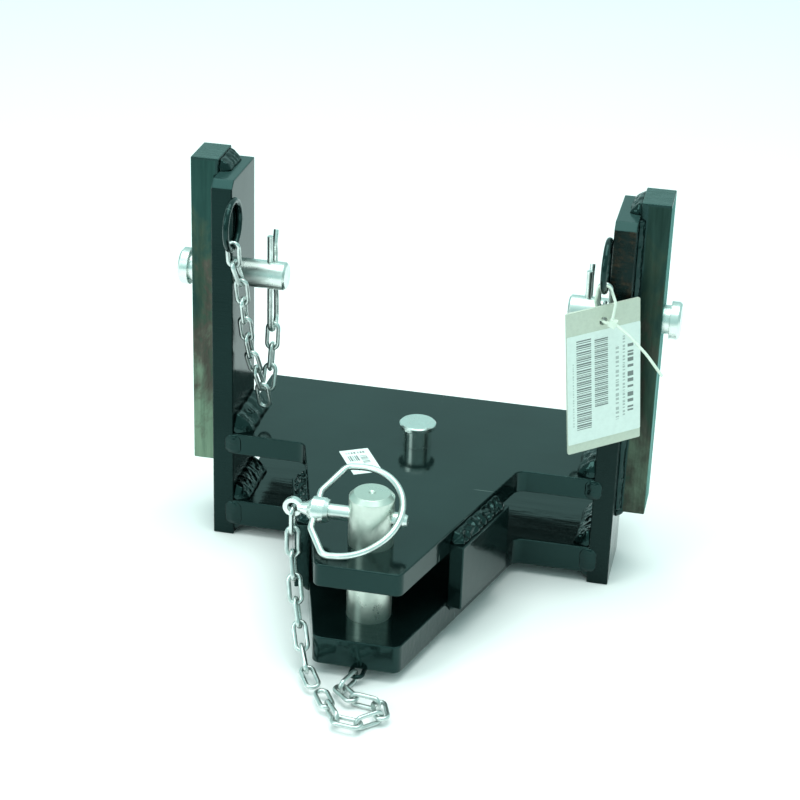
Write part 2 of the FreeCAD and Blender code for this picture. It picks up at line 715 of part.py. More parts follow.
def chain_shape(points, first_roll):
    """Links walked at their own pitch towards each hand-placed point in turn."""
    links = []
    here = FreeCAD.Vector(*points[0])
    for index, target in enumerate(points[1:]):
        heading = (FreeCAD.Vector(*target) - here).normalize()
        there = here + heading * LINK_PITCH
        links.append(link_between(here, there, first_roll + 90 * index))
        here = there
    return Part.Compound(links)


def lying_chain_shape(points):
    """Strand on the ground: upright and flat links in turn, bending sideways where they hook."""
    links = []
    here = FreeCAD.Vector(*points[0])
    for index, target in enumerate(points[1:]):
        is_flat = index % 2 == 1
        heading = (FreeCAD.Vector(*target) - here).normalize()
        there = here + heading * (FLAT_PITCH if is_flat else UPRIGHT_PITCH)
        width = Z_AXIS.cross(heading) if is_flat else Z_AXIS
        links.append(link_along(here, there, width))
        here = there
    return Part.Compound(links)


def make_side_chains(side_name, side):
    """Safety chain in two strands: one hangs from the ring, one from the R-clip's loop."""
    ring_x = inner_x - size("ring_wire") / 2
    ring_y = front_y - size("ring_forward")
    ring_z = top_face_z + size("ring_rise") - size("ring_radius") + size("ring_wire") / 2 + size("link_play")
    strand = [
        (0, 0, 0), (0, 3, -15), (-3.7, 7, -30), (-4.2, 10, -45.5), (-4.8, 13, -61),
        (-5.4, 17, -76), (-6.8, 22, -91), (-9, 27.5, -105.5), (-12, 32, -120), (-13.8, 34, -135),
    ]
    ring_side = [(side * (ring_x + x), ring_y + y, ring_z + z) for x, y, z in strand]
    computed(f"{side_name}_ring_chain", chain_shape(ring_side, 0))
    clip_x = inner_x - size("lock_inside") + size("clip_inset")
    clip_y = lock_y + size("clip_loop_radius")
    loop_foot = lock_z - size("clip_below") - size("clip_loop_radius")
    clip_z = loop_foot + size("clip_wire") / 2 + size("link_play")
    strand = [(0, 0, 0), (0.3, -1.5, -15.5), (0.8, -4, -31), (1.5, -8, -46)]
    clip_side = [(side * (clip_x + x), clip_y + y, clip_z + z) for x, y, z in strand]
    computed(f"{side_name}_clip_chain", chain_shape(clip_side, 0))


def make_linch_chains():
    """Linch pin's chain: a strand hanging from the eye, and a strand lying on the ground."""
    eye_x = -(size("linch_head_start") + size("linch_head_length") + size("eye_overhang"))
    eye_z = linch_z - size("eye_hole") / 2 + size("eye_play")
    hanging = [
        (eye_x, 0, eye_z), (eye_x, 0, 34.6), (-51.4, -4, 20), (-48.5, -10.5, 6.5), (-45, -18.5, -6.5),
        (-40.5, -27, -19), (-36, -36, -30.5), (-30.5, -47, -38), (-22.5, -60, -41),
    ]
    computed("linch_chain_hanging", chain_shape(hanging, 90))
    lying_z = floor_z + size("link_width") / 2 + size("link_play")
    anchor_z = -size("jaw_gap") / 2 - size("bottom_plate_thickness") - size("link_wire") / 2
    hook = FreeCAD.Vector(2, 2 - size("tip_reach") - FLAT_PITCH / 2, anchor_z)
    lying = [tuple(hook)]
    lying += [(x, y, lying_z) for x, y in (
        (-4, -60), (5, -68.5), (24, -71.5), (28.2, -83.2),
        (14.5, -96.6), (2.2, -95), (-8.5, -79.3), (-14.6, -68.5),
    )]
    computed("linch_chain_lying", lying_chain_shape(lying))
    anchor = link_along(hook + Y_AXIS * FLAT_PITCH, hook, X_AXIS)
    computed("chain_anchor_link", anchor)


for side_name, side in SIDES:
    make_chain_ring(side_name, side)
    make_side_chains(side_name, side)
make_linch_chains()


# ---------------------------------------------------------------- tag, cable tie and sticker

RING_FOOT = FreeCAD.Vector(
    inner_x - size("ring_wire") / 2,
    front_y - size("ring_forward") - 5,
    top_face_z + size("ring_rise") - size("ring_radius"),
)


def tag_placement():
    """Tag hangs from its hole, turned about Z and leaning a little in its own plane."""
    turn = FreeCAD.Rotation(Z_AXIS, size("tag_turn"))
    lean = FreeCAD.Rotation(Y_AXIS, -size("tag_lean"))
    hole = RING_FOOT + FreeCAD.Vector(0.6, -4, -18.2)
    return FreeCAD.Placement(hole, turn.multiply(lean))


def make_tag_sheet(name, top, bottom, thickness, forward, holed):
    """Rounded rectangle in the tag's own frame, whose origin is the hole."""
    body = new_body(name)
    sketch = new_sketch(body, "XZ_Plane", name + "_outline")
    half = "Dims.tag_width / 2"
    add_polygon(sketch, [(f"-{half}", bottom), (half, bottom), (half, top), (f"-{half}", top)])
    if holed:
        add_circle(sketch, "0", "0", "Dims.tag_hole")
    pad = add_pad(body, sketch, thickness)

    def is_corner(edge):
        return is_straight(edge) and abs(edge.tangentAt(edge.FirstParameter).y) > 0.99

    add_fillet(body, pad, edges_where(pad.Shape, is_corner), "Dims.tag_corner / 2")
    where = tag_placement()
    where.Base = where.Base + where.Rotation.multVec(FreeCAD.Vector(0, forward, 0))
    body.Placement = where
    return keep(body, name)


def make_cable_tie():
    """Cable tie: loop through the ring and the tag's hole, ratchet head, long tail."""
    thickness = size("tie_thickness")
    loop = [
        (7.7, -10.5, -14.2), (8.7, -6, -4.2), (3.7, -0.5, 4.8), (-4.2, 0, 4.3),
        (-5.3, -1, -7.2), (-1.6, -0.9, -18.6), (2.4, -6.5, -18.6), (6.2, -10, -17.2),
    ]
    points = [RING_FOOT + FreeCAD.Vector(*point) for point in loop]
    shape = bent_wire(points, [6, 4, 3.4, 6, 1.8, 3], thickness)
    tail = [(9.2, -11.5, -16.2), (20.2, -13, -23.7), (32.2, -14, -34.7), (43.7, -14.5, -48.7)]
    tail_points = [RING_FOOT + FreeCAD.Vector(*point) for point in tail]
    shape = shape.fuse(bent_wire(tail_points, [40, 40], thickness))
    head_size = size("tie_head")
    head = Part.makeBox(head_size, head_size, head_size)
    head_corner = RING_FOOT + FreeCAD.Vector(5, -13, -18.2)
    head.Placement = FreeCAD.Placement(head_corner, FreeCAD.Rotation(Y_AXIS, 20))
    return computed("cable_tie", shape.fuse(head))


def make_sticker():
    sticker = doc.addObject("Part::Box", "plate_sticker")
    sticker.setExpression("Length", "Dims.sticker_width")
    sticker.setExpression("Width", "Dims.sticker_length")
    sticker.setExpression("Height", "Dims.sticker_thickness")
    rotation = FreeCAD.Rotation(Z_AXIS, size("sticker_turn"))
    corner = rotation.multVec(FreeCAD.Vector(size("sticker_width") / 2, size("sticker_length") / 2, 0))
    centre = FreeCAD.Vector(-32.3, front_y - 16.5, top_face_z)
    sticker.Placement = FreeCAD.Placement(centre - corner, rotation)
    return keep(sticker, "plate_sticker")


LABEL_TOP = "-6"
make_tag_sheet("tag_card", "Dims.tag_hole_inset", "Dims.tag_hole_inset - Dims.tag_height",
               "Dims.tag_thickness", 0, True)
make_tag_sheet("tag_label", LABEL_TOP, "Dims.tag_hole_inset - Dims.tag_height + 7",
               "Dims.label_thickness", -size("tag_thickness"), False)
make_cable_tie()
make_sticker()


# ---------------------------------------------------------------- export

def export_all():
    doc.recompute()
    os.makedirs("parts", exist_ok=True)
    for obj in doc.Objects:
        if "Invalid" in obj.State or "Error" in obj.State:
            raise RuntimeError(f"{obj.Name} failed: {obj.State}")
    for obj in SUB_PARTS:
        if obj.Shape.isNull() or not obj.Shape.isValid():
            raise RuntimeError(f"{obj.Label} has a bad shape")
    for obj in SUB_PARTS:
        obj.Shape.exportStep(f"parts/{obj.Label}.step")


export_all()
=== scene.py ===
import math

import bmesh
import bpy
from mathutils import Matrix, Vector, noise


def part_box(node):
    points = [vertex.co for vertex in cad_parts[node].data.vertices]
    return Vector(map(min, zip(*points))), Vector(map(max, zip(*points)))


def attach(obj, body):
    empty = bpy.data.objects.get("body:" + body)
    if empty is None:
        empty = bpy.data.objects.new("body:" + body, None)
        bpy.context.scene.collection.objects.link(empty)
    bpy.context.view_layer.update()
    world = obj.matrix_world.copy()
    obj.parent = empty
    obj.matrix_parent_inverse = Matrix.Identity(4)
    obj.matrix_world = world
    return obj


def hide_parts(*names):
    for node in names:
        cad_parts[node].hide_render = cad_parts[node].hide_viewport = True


# Look of the drawbar jaw: gloss black paint, rough weld beads, bare slide rails, zinc hardware.
# Everything is in metres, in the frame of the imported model.

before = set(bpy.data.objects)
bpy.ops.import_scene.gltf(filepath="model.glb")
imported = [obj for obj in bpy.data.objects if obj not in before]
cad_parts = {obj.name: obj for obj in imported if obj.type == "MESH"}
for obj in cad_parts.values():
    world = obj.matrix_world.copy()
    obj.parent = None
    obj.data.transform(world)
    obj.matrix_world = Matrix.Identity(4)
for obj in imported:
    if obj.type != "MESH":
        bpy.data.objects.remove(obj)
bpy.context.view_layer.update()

MM = 0.001
X, Y, Z = Vector((1, 0, 0)), Vector((0, 1, 0)), Vector((0, 0, 1))
LEFT, RIGHT = -1, 1
SIDES = (("left", LEFT), ("right", RIGHT))

# ---------------------------------------------------------------- places read from the frame

top_low, top_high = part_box("top_plate")
bottom_low, bottom_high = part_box("bottom_plate")
cheek_low, cheek_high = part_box("right_cheek")
rail_low, rail_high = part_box("right_rail")
web_low, web_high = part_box("right_web")
FLOOR_Z = cheek_low.z
INNER_X = cheek_low.x
OUTER_X = cheek_high.x
CHEEK_FRONT = cheek_low.y
CHEEK_BACK = cheek_high.y
TOP_FACE = top_high.z

# ---------------------------------------------------------------- camera, floor and light


def rgb(red, green, blue):
    return (red, green, blue, 1)


def darker(tone, share):
    return tuple(channel * share for channel in tone[:3]) + (1,)


CAMERA_PLACE = Vector((0.2528, -1.1638, 0.7129))
CAMERA_AIM = Vector((-0.1794, 0.8825, -0.4348)).normalized()
CAMERA_ROLL = math.radians(1.95)
CAMERA_LENS = 94.46
CAMERA_SENSOR = 36

FLOOR_HALF = 6
LIGHT_TINT = (0.90, 1.0, 0.97)
HORIZON = rgb(0.38, 0.70, 0.67)
ZENITH = rgb(0.68, 1.0, 0.96)
ZENITH_START = 0.9


def make_camera():
    data = bpy.data.cameras.new("camera")
    data.lens = CAMERA_LENS
    data.sensor_width = CAMERA_SENSOR
    camera = bpy.data.objects.new("camera", data)
    bpy.context.collection.objects.link(camera)
    level_right = CAMERA_AIM.cross(Z).normalized()
    level_up = level_right.cross(CAMERA_AIM)
    right = level_right * math.cos(CAMERA_ROLL) + level_up * math.sin(CAMERA_ROLL)
    up = level_up * math.cos(CAMERA_ROLL) - level_right * math.sin(CAMERA_ROLL)
    turn = Matrix((right, up, -CAMERA_AIM)).transposed()
    camera.matrix_world = Matrix.Translation(CAMERA_PLACE) @ turn.to_4x4()
    bpy.context.scene.camera = camera


def make_floor(material):
    mesh = bpy.data.meshes.new("floor")
    corners = [
        (-FLOOR_HALF, -FLOOR_HALF, FLOOR_Z),
        (FLOOR_HALF, -FLOOR_HALF, FLOOR_Z),
        (FLOOR_HALF, FLOOR_HALF, FLOOR_Z),
        (-FLOOR_HALF, FLOOR_HALF, FLOOR_Z),
    ]
    mesh.from_pydata(corners, [], [(0, 1, 2, 3)])
    mesh.materials.append(material)
    floor = bpy.data.objects.new("floor", mesh)
    bpy.context.collection.objects.link(floor)


def make_light(name, place, aim, size, power):
    data = bpy.data.lights.new(name, "AREA")
    data.shape = "RECTANGLE"
    data.size, data.size_y = size
    data.energy = power
    data.color = LIGHT_TINT
    light = bpy.data.objects.new(name, data)
    bpy.context.collection.objects.link(light)
    light.location = place
    light.rotation_mode = "QUATERNION"
    light.rotation_quaternion = (Vector(aim) - Vector(place)).to_track_quat("-Z", "Y")


def make_world():
    """Tent of soft light, tinted blue-green: bright overhead, darker towards the horizon."""
    world = bpy.data.worlds.new("tent")
    bpy.context.scene.world = world
    world.use_nodes = True
    nodes, links = world.node_tree.nodes, world.node_tree.links
    background = nodes["Background"]
    coords = nodes.new("ShaderNodeTexCoord")
    split = nodes.new("ShaderNodeSeparateXYZ")
    ramp = nodes.new("ShaderNodeValToRGB")
    links.new(coords.outputs["Generated"], split.inputs[0])
    links.new(split.outputs["Z"], ramp.inputs[0])
    links.new(ramp.outputs[0], background.inputs["Color"])
    lower, upper = ramp.color_ramp.elements
    lower.position, lower.color = 0.0, HORIZON
    upper.position, upper.color = ZENITH_START, ZENITH
    background.inputs["Strength"].default_value = 1.0


# ---------------------------------------------------------------- material helpers

class Shader:
    """A material with a Principled shader and short calls for the textures that drive it."""

    def __init__(self, name):
        self.material = bpy.data.materials.new(name)
        self.material.use_nodes = True
        self.nodes = self.material.node_tree.nodes
        self.links = self.material.node_tree.links
        self.main = self.nodes["Principled BSDF"]
        self.coords = self.nodes.new("ShaderNodeTexCoord").outputs["Object"]

    def feed(self, value, socket):
        """Set a constant on the socket, or link a texture to it."""
        if isinstance(value, (int, float, tuple)):
            socket.default_value = value
        else:
            self.links.new(value, socket)

    def put(self, name, value):
        self.feed(value, self.main.inputs[name])

    def stretched(self, scale, turn):
        mapping = self.nodes.new("ShaderNodeMapping")
        mapping.inputs["Scale"].default_value = scale
        mapping.inputs["Rotation"].default_value = turn
        self.links.new(self.coords, mapping.inputs["Vector"])
        return mapping.outputs[0]

    def laid_out(self, origin, turn):
        """Millimetre coordinates in the frame of a turned sheet."""
        mapping = self.nodes.new("ShaderNodeMapping")
        mapping.vector_type = "TEXTURE"
        mapping.inputs["Location"].default_value = origin
        mapping.inputs["Rotation"].default_value = turn
        mapping.inputs["Scale"].default_value = (MM, MM, MM)
        self.links.new(self.coords, mapping.inputs["Vector"])
        return mapping.outputs[0]

    def noise(self, scale, detail=4, roughness=0.55, stretch=(1, 1, 1), turn=(0, 0, 0), distortion=0):
        node = self.nodes.new("ShaderNodeTexNoise")
        node.inputs["Scale"].default_value = scale
        node.inputs["Detail"].default_value = detail
        node.inputs["Roughness"].default_value = roughness
        node.inputs["Distortion"].default_value = distortion
        self.links.new(self.stretched(stretch, turn), node.inputs["Vector"])
        return node.outputs["Fac"]

    def cells(self, scale):
        node = self.nodes.new("ShaderNodeTexVoronoi")
        node.inputs["Scale"].default_value = scale
        self.links.new(self.coords, node.inputs["Vector"])
        return node.outputs["Distance"]

    def ramp(self, value, stops):
        node = self.nodes.new("ShaderNodeValToRGB")
        elements = node.color_ramp.elements
        while len(elements) < len(stops):
            elements.new(0.5)
        for element, (position, colour) in zip(elements, stops):
            element.position = position
            element.color = colour if isinstance(colour, tuple) else rgb(colour, colour, colour)
        self.links.new(value, node.inputs[0])
        return node.outputs[0]

    def mix(self, factor, first, second, blend="MIX"):
        node = self.nodes.new("ShaderNodeMix")
        node.data_type = "RGBA"
        node.blend_type = blend
        factor_socket, first_socket, second_socket = (node.inputs[index] for index in (0, 6, 7))
        self.feed(factor, factor_socket)
        self.feed(first, first_socket)
        self.feed(second, second_socket)
        return node.outputs[2]

    def math(self, operation, first, second=0.0):
        node = self.nodes.new("ShaderNodeMath")
        node.operation = operation
        self.feed(first, node.inputs[0])
        self.feed(second, node.inputs[1])
        return node.outputs[0]

    def times(self, first, *others):
        product = first
        for factor in others:
            product = self.math("MULTIPLY", product, factor)
        return product

    def above(self, value, threshold):
        return self.math("GREATER_THAN", value, threshold)

    def within(self, value, centre, reach):
        """1 where the value is no further than reach from centre, 0 elsewhere."""
        result = self.math("COMPARE", value, centre)
        result.node.inputs[2].default_value = reach
        return result

    def axis(self, source, name):
        node = self.nodes.new("ShaderNodeSeparateXYZ")
        self.links.new(source, node.inputs[0])
        return node.outputs[name]

    def facing(self, name):
        """The surface normal's share along one axis of the object."""
        return self.axis(self.nodes.new("ShaderNodeTexCoord").outputs["Normal"], name)

    def rounded(self, radius):
        """Normals as if the plate edges were slightly rounded."""
        node = self.nodes.new("ShaderNodeBevel")
        node.samples = 4
        node.inputs["Radius"].default_value = radius
        return node.outputs[0]

    def edges(self, radius):
        """1 on the strip beside a sharp edge, 0 elsewhere."""
        true_normal = self.nodes.new("ShaderNodeNewGeometry").outputs["Normal"]
        node = self.nodes.new("ShaderNodeVectorMath")
        node.operation = "DOT_PRODUCT"
        self.links.new(self.rounded(radius), node.inputs[0])
        self.links.new(true_normal, node.inputs[1])
        return self.ramp(node.outputs["Value"], [(0.90, 1.0), (0.99, 0.0)])

    def chips(self, radius, scale, start):
        """Small chips along the sharp edges."""
        spots = self.ramp(self.noise(scale, 5, 0.7), [(start, 0.0), (0.66, 0.8)])
        return self.times(self.edges(radius), spots)

    def bump(self, height, strength, distance, under=None):
        node = self.nodes.new("ShaderNodeBump")
        node.inputs["Strength"].default_value = strength
        node.inputs["Distance"].default_value = distance
        self.links.new(height, node.inputs["Height"])
        if under is not None:
            self.links.new(under, node.inputs["Normal"])
        self.links.new(node.outputs[0], self.main.inputs["Normal"])
        return node.outputs[0]


# ---------------------------------------------------------------- paint

PAINT_DARK = rgb(0.0018, 0.0048, 0.0048)
PAINT_LIGHT = rgb(0.0042, 0.0105, 0.0100)
PAINT_SHEEN = rgb(0.48, 1.0, 0.95)
PAINT_SPECULAR = 0.40
DUST = rgb(0.16, 0.19, 0.18)

SAWN_SHEEN = rgb(0.56, 0.95, 0.90)
# Colour for the cheeks' faces turned upward, lighter than the paint: a painted highlight.
UPWARD_PAINTED_HIGHLIGHT = rgb(0.022, 0.050, 0.048)
SCALE_DARK = rgb(0.004, 0.003, 0.002)
RUST = rgb(0.058, 0.024, 0.009)
RUST_FOOT = 60 * MM
RUST_FULL = 100 * MM

WELD_DARK = rgb(0.0012, 0.0026, 0.0026)
WELD_LIGHT = rgb(0.004, 0.008, 0.008)
WELD_SPECULAR = 0.42


def paint_tone(s):
    return s.ramp(s.noise(14, 6), [(0.35, PAINT_DARK), (0.68, PAINT_LIGHT)])


def paint_gloss(s, low_rough, high_rough):
    smear = s.noise(30, 5, stretch=(1, 1.8, 0.7))
    return s.ramp(smear, [(0.3, low_rough), (0.7, high_rough)])


def orange_peel(s, strength, edge_radius):
    return s.bump(s.noise(620, 2, 0.4), strength, 0.25 * MM, under=s.rounded(edge_radius))


def black_paint(name, peel=0.10, waves=0.12):
    """Gloss black paint: faint orange peel, long waves, thin dust and a few light specks."""
    s = Shader(name)
    specks = s.ramp(s.cells(210), [(0.045, 1.0), (0.075, 0.0)])
    patchy = s.ramp(s.noise(22, 3), [(0.55, 0.0), (0.68, 1.0)])
    dusty = s.times(specks, patchy, 0.55)
    chipped = s.chips(0.9 * MM, 180, 0.52)
    scuffs = s.noise(26, 2, 0.5, stretch=(0.5, 9, 1), turn=(0, 0, 0.5))
    hairlines = s.ramp(scuffs, [(0.745, 0.0), (0.76, 0.5)])
    worn = s.math("MAXIMUM", chipped, hairlines)
    s.put("Base Color", s.mix(s.math("MAXIMUM", dusty, worn), paint_tone(s), DUST))
    s.put("Roughness", paint_gloss(s, 0.07, 0.15))
    s.put("Specular Tint", PAINT_SHEEN)
    s.put("Specular IOR Level", PAINT_SPECULAR)
    fine = orange_peel(s, peel, 1.0 * MM)
    s.bump(s.noise(90, 3, 0.5, stretch=(0.22, 1.5, 1)), waves, 0.6 * MM, under=fine)
    return s.material


def cheek_paint(name, rust):
    """Paint over sawn edges with fine level lines, lighter on faces turned upward as a painted
    highlight; with rust above 0 the front edge has rusted.
    """
    s = Shader(name)
    front = s.above(s.times(s.facing("Y"), -1.0), 0.8)
    band = s.ramp(s.axis(s.coords, "Z"), [(RUST_FOOT, 0.0), (RUST_FULL, 1.0)])
    blotch = s.ramp(s.noise(55, 7, 0.65, stretch=(1, 1, 0.6)), [(0.40, 0.0), (0.60, 1.0)])
    stain = s.times(front, band, blotch, rust)
    rusty = s.noise(190, 7, 0.75, stretch=(0.6, 1, 1.6))
    brown = s.ramp(rusty, [(0.46, SCALE_DARK), (0.60, RUST)])
    # Faces turned upward are coloured lighter than the paint: a painted highlight.
    upward = s.above(s.facing("Z"), 0.4)
    tone = s.mix(upward, s.mix(stain, paint_tone(s), brown), UPWARD_PAINTED_HIGHLIGHT)
    s.put("Base Color", s.mix(s.chips(1.0 * MM, 150, 0.50), tone, DUST))
    s.put("Roughness", s.math("ADD", paint_gloss(s, 0.10, 0.20), s.times(stain, 0.25)))
    s.put("Specular Tint", SAWN_SHEEN if rust else PAINT_SHEEN)
    s.put("Specular IOR Level", 0.20 if rust else 0.22)
    fine = orange_peel(s, 0.10, 1.2 * MM)
    sawn = s.noise(30, 4, 0.7, stretch=(0.3, 0.3, 30))
    s.bump(s.times(sawn, front), 0.55, 0.5 * MM, under=fine)
    return s.material


def weld_paint(name):
    """The same paint over a rough bead: thicker, glossier in the hollows."""
    s = Shader(name)
    s.put("Base Color", s.ramp(s.noise(220, 5), [(0.35, WELD_DARK), (0.7, WELD_LIGHT)]))
    s.put("Roughness", s.ramp(s.noise(260, 4), [(0.3, 0.06), (0.7, 0.17)]))
    s.put("Specular Tint", PAINT_SHEEN)
    s.put("Specular IOR Level", WELD_SPECULAR)
    grain = s.bump(s.noise(700, 3, 0.5), 0.12, 0.2 * MM)
    s.bump(s.noise(240, 3, 0.5), 0.45, 0.9 * MM, under=grain)
    return s.material


# ---------------------------------------------------------------- bare steel of the slide rails

# Tones of the steel from grey to pale, per side: the left rail is lighter and more heated.
RAIL_TONES = {
    LEFT: (
        rgb(0.026, 0.066, 0.060),
        rgb(0.055, 0.084, 0.062),
        rgb(0.092, 0.078, 0.066),
        rgb(0.170, 0.240, 0.175),
    ),
    RIGHT: (
        rgb(0.024, 0.050, 0.043),
        rgb(0.036, 0.058, 0.043),
        rgb(0.050, 0.052, 0.042),
        rgb(0.085, 0.115, 0.085),
    ),
}
TONE_STOPS = (0.44, 0.55, 0.61, 0.76)
# How fast the steel gets paler towards the bottom, below the given level, per metre.
PALING_LEVEL = 155 * MM
PALING_SLOPE = {LEFT: 2.6, RIGHT: 1.4}
# Width of the paint that laps over the rail from the cheek, and down from its top.
PAINT_LAP = {LEFT: 1.5 * MM, RIGHT: 4.3 * MM}
PAINT_CAP = 2.2 * MM
RAGGED = 4 * MM
FADES_PER_METRE = 900.0
# Paint on the rail's top, lighter than the paint elsewhere: a painted highlight on the upward face.
RAIL_TOP_LIT_PAINT = rgb(0.020, 0.046, 0.042)
GROOVE_SHADE = rgb(0.50, 0.54, 0.52)
RIDGE_SHADE = rgb(1.25, 1.25, 1.2)
BARE_METAL = 0.9


def paint_line(s, value, start, before, after):
    """A soft step from one value to another where a coordinate passes start."""
    share = s.times(s.math("SUBTRACT", value, start), FADES_PER_METRE)
    return s.ramp(share, [(0.0, before), (1.0, after)])


def rail_paint_mask(s, side):
    """1 where the rail is painted: beside the cheek, on its top and mostly on its back."""
    height = s.axis(s.coords, "Z")
    outward = s.times(s.axis(s.coords, "X"), float(side))
    ragged = s.times(s.math("SUBTRACT", s.noise(60, 6, 0.6, stretch=(1, 1, 0.35)), 0.5), RAGGED)
    lap = paint_line(s, s.math("ADD", outward, ragged), OUTER_X + PAINT_LAP[side], 1.0, 0.0)
    cap = paint_line(s, s.math("ADD", height, ragged), rail_high.z - PAINT_CAP, 0.0, 1.0)
    back = s.times(s.above(s.facing("Y"), 0.5), 0.85)
    return s.math("MAXIMUM", s.math("MAXIMUM", lap, cap), back)


def bare_rail(name, side):
    """Slide rail: ground steel with temper colours, painted on its top and next to the cheek; the
    paint on its top is lighter, a painted highlight.
    """
    s = Shader(name)
    painted = rail_paint_mask(s, side)
    mottle = s.times(s.noise(21, 6, 0.65, stretch=(1, 1, 0.6), distortion=1.2), 0.95)
    below = s.math("SUBTRACT", PALING_LEVEL, s.axis(s.coords, "Z"))
    # Mottled temper colours, shifted paler towards the bottom of the rail.
    mottle_and_height = s.math("ADD", mottle, s.times(below, PALING_SLOPE[side]))
    steel = s.ramp(mottle_and_height, list(zip(TONE_STOPS, RAIL_TONES[side])))
    grind = s.noise(150, 5, 0.7, stretch=(1.0, 1.0, 0.07))
    swirl = s.noise(90, 4, 0.6, stretch=(1, 1, 0.16), turn=(0, math.radians(38), 0), distortion=0.8)
    streaks = s.ramp(grind, [(0.35, GROOVE_SHADE), (0.7, RIDGE_SHADE)])
    scratched = s.mix(0.7, steel, streaks, blend="MULTIPLY")
    # Upward faces get the lighter top paint, a painted highlight, and the flame-cut bump further down.
    sawn_and_lit_top = s.above(s.facing("Z"), 0.8)
    paint_with_top_highlight = s.mix(sawn_and_lit_top, PAINT_LIGHT, RAIL_TOP_LIT_PAINT)
    s.put("Base Color", s.mix(painted, scratched, paint_with_top_highlight))
    s.put("Specular Tint", PAINT_SHEEN)
    s.put("Metallic", s.math("SUBTRACT", BARE_METAL, s.times(painted, BARE_METAL)))
    rough = s.ramp(swirl, [(0.3, 0.34), (0.7, 0.52)])
    s.put("Roughness", s.math("SUBTRACT", rough, s.times(painted, 0.22)))
    ground = s.bump(grind, 0.25, 0.3 * MM, under=s.rounded(1.2 * MM))
    swirled = s.bump(swirl, 0.12, 0.5 * MM, under=ground)
    flame = s.noise(26, 3, 0.6, stretch=(1.0, 14, 1), turn=(0, 0, math.radians(24)), distortion=0.5)
    s.bump(s.times(flame, sawn_and_lit_top), 0.55, 1.0 * MM, under=swirled)
    return s.material


# ---------------------------------------------------------------- zinc, card, nylon and floor

ZINC_TONE = rgb(0.76, 0.80, 0.77)
PIN_TONE = rgb(0.62, 0.67, 0.61)
WIRE_TONE = rgb(0.78, 0.83, 0.80)
CHAIN_TONE = rgb(0.66, 0.71, 0.69)
BOARD_TONE = rgb(0.56, 0.58, 0.49)
NYLON_DARK = rgb(0.66, 0.70, 0.60)
NYLON_LIGHT = rgb(0.78, 0.81, 0.72)
NYLON_DEPTH = 2 * MM
FLOOR_DARK = rgb(0.98, 0.91, 0.915)
FLOOR_LIGHT = rgb(0.99, 0.93, 0.935)


def turned_zinc(name, axis, tone, rough, wear, metal=1.0):
    """Zinc-plated pin: fine turning marks round its axis, scuffs and dulled patches."""
    s = Shader(name)
    marks = s.noise(24, 3, 0.7, stretch={"X": (60, 0.4, 0.4), "Z": (0.4, 0.4, 60)}[axis])
    patches = s.noise(70, 6, 0.65)
    scuffed = s.times(s.ramp(patches, [(0.45, 0.0), (0.75, 1.0)]), wear)
    s.put("Base Color", s.mix(scuffed, tone, darker(tone, 0.62)))
    s.put("Metallic", metal)
    s.put("Roughness", s.ramp(patches, [(0.3, rough - 0.05), (0.75, rough + 0.12)]))
    turned = s.bump(marks, 0.05, 0.1 * MM, under=s.rounded(0.6 * MM))
    s.bump(s.noise(420, 3, 0.5), 0.02, 0.1 * MM, under=turned)
    return s.material


def wire_zinc(name, tone, rough):
    """Bright zinc wire: smooth, with soft clouding and drawn lines."""
    s = Shader(name)
    clouds = s.noise(120, 5, 0.6)
    s.put("Base Color", s.ramp(clouds, [(0.32, darker(tone, 0.72)), (0.62, tone)]))
    s.put("Metallic", 1.0)
    s.put("Roughness", s.ramp(clouds, [(0.3, rough + 0.10), (0.7, rough - 0.04)]))
    s.bump(s.noise(520, 3, 0.5), 0.06, 0.2 * MM)
    return s.material


def card(name):
    """Grey pulp board of the hanging tag."""
    s = Shader(name)
    pulp = s.noise(380, 5, 0.7)
    s.put("Base Color", s.ramp(pulp, [(0.30, darker(BOARD_TONE, 0.90)), (0.60, BOARD_TONE)]))
    s.put("Roughness", s.ramp(s.noise(60, 4), [(0.3, 0.55), (0.7, 0.68)]))
    s.bump(pulp, 0.25, 0.2 * MM)
    return s.material


def nylon(name):
    """Milky plastic that lets a little light into it."""
    s = Shader(name)
    s.put("Base Color", s.ramp(s.noise(150, 4), [(0.3, NYLON_DARK), (0.7, NYLON_LIGHT)]))
    s.put("Roughness", s.ramp(s.noise(90, 3), [(0.3, 0.30), (0.7, 0.42)]))
    s.put("Subsurface Weight", 0.12)
    s.put("Subsurface Radius", (NYLON_DEPTH, NYLON_DEPTH, NYLON_DEPTH))
    s.bump(s.noise(500, 3), 0.08, 0.2 * MM)
    return s.material


def plain_floor():
    s = Shader("floor_white")
    s.put("Base Color", s.ramp(s.noise(3, 2), [(0.3, FLOOR_DARK), (0.7, FLOOR_LIGHT)]))
    s.put("Roughness", 0.75)
    return s.material


# ---------------------------------------------------------------- generic print

INK = rgb(0.03, 0.04, 0.04)
STICKER_PAPER = rgb(0.86, 0.90, 0.88)
TAG_PAPER = rgb(0.72, 0.77, 0.73)

# The frame of each sheet: its origin, how it is turned, and the axis that runs along it.
TAG_PLACE = (Vector((128.4, 109.5, 162)) * MM, (0.0, math.radians(-5), math.radians(35.6)), "Z")
STICKER_PLACE = (Vector((-32.3, 108, 35)) * MM, (0.0, 0.0, math.radians(30)), "Y")

